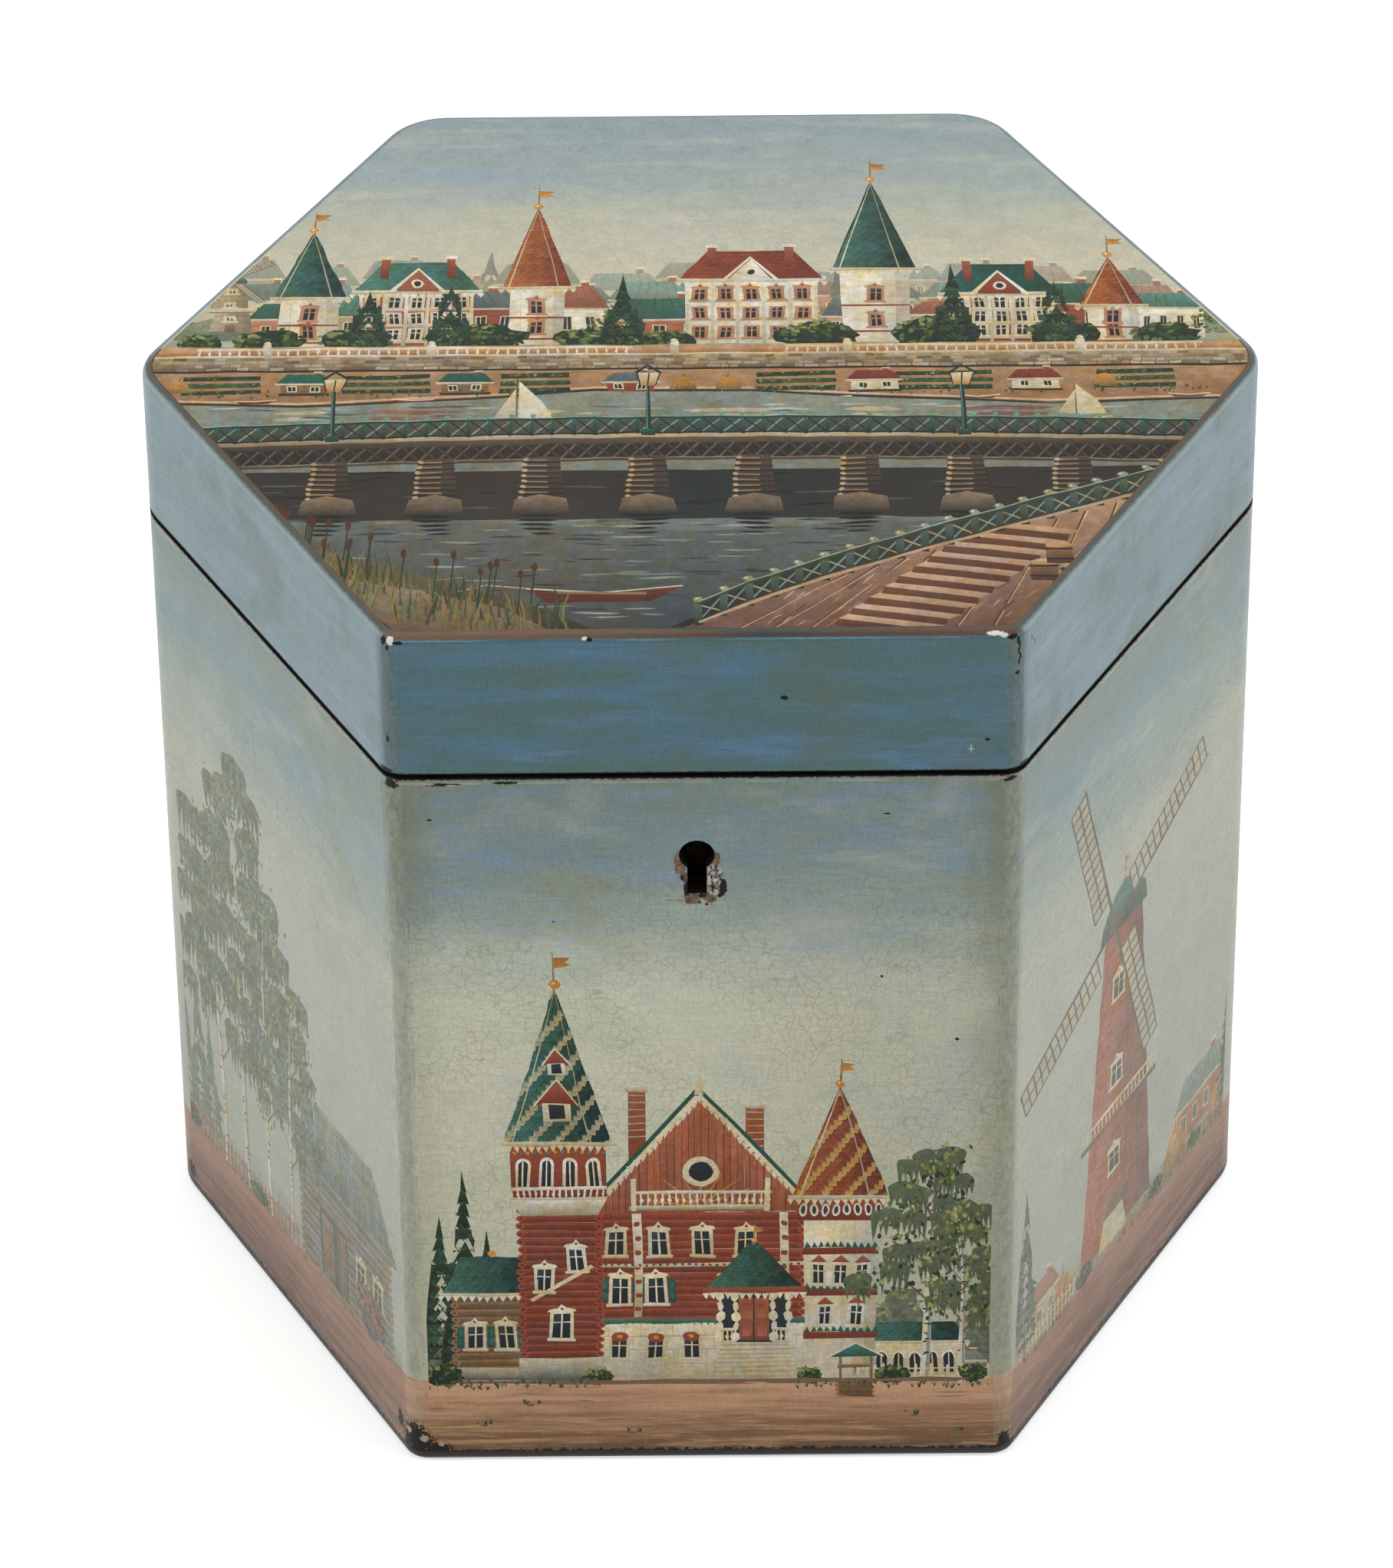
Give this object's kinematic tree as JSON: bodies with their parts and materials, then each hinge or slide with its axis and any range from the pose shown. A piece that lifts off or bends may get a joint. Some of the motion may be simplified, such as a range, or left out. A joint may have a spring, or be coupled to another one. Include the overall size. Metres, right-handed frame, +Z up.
{
  "type": "lacquer box",
  "caption": "Six-sided lacquered papier-mache box with a painted countryside, a hinged lid and a small lock whose bolt slides through links hanging from the lid.",
  "frame": {"origin": "centre of the base, on the surface the box stands on", "axes": "+Z up, the front face with the keyhole looks to -Y, the hinge runs along X at the back"},
  "size_m": [0.1288, 0.112, 0.118],
  "materials": {
    "painted_lacquer": "satin",
    "black_lacquer": "satin",
    "red_lacquer": "satin",
    "lock_wood": "matte",
    "lock_brass": "satin",
    "lock_steel": "satin",
    "screw_brass": "satin"
  },
  "bodies": {
    "case": {"body_wall": "painted_lacquer", "base_board": "black_lacquer", "inner_lining": "red_lacquer", "lock_block": "lock_wood", "lock_backplate": "lock_brass", "lock_case": "lock_brass", "lock_stumps": "lock_steel", "key_pin": "lock_steel", "detent_spring": "lock_steel", "lock_screws": "screw_brass", "hinge_leaf_body": "lock_brass", "hinge_pin": "lock_steel", "hinge_nails_body": "lock_brass"},
    "bolt": {"lock_bolt": "lock_steel"},
    "lid": {"lid_wall": "painted_lacquer", "lid_top": "painted_lacquer", "hinge_leaf_lid": "lock_brass", "hinge_nails_lid": "lock_brass", "strike_block": "lock_wood", "strike_plate": "lock_brass", "strike_screws": "screw_brass"}
  },
  "joints": [
    {"name": "lid_hinge", "type": "hinge", "parent": "case", "child": "lid", "pos_m": [0, 0.0545, 0.0991], "axis": [-1, 0, 0], "range_deg": [0, 100]},
    {"name": "bolt_throw", "type": "slide", "parent": "case", "child": "bolt", "axis": [1, 0, 0], "range_m": [0, 0.0036], "deforming": ["detent_spring"]}
  ]
}
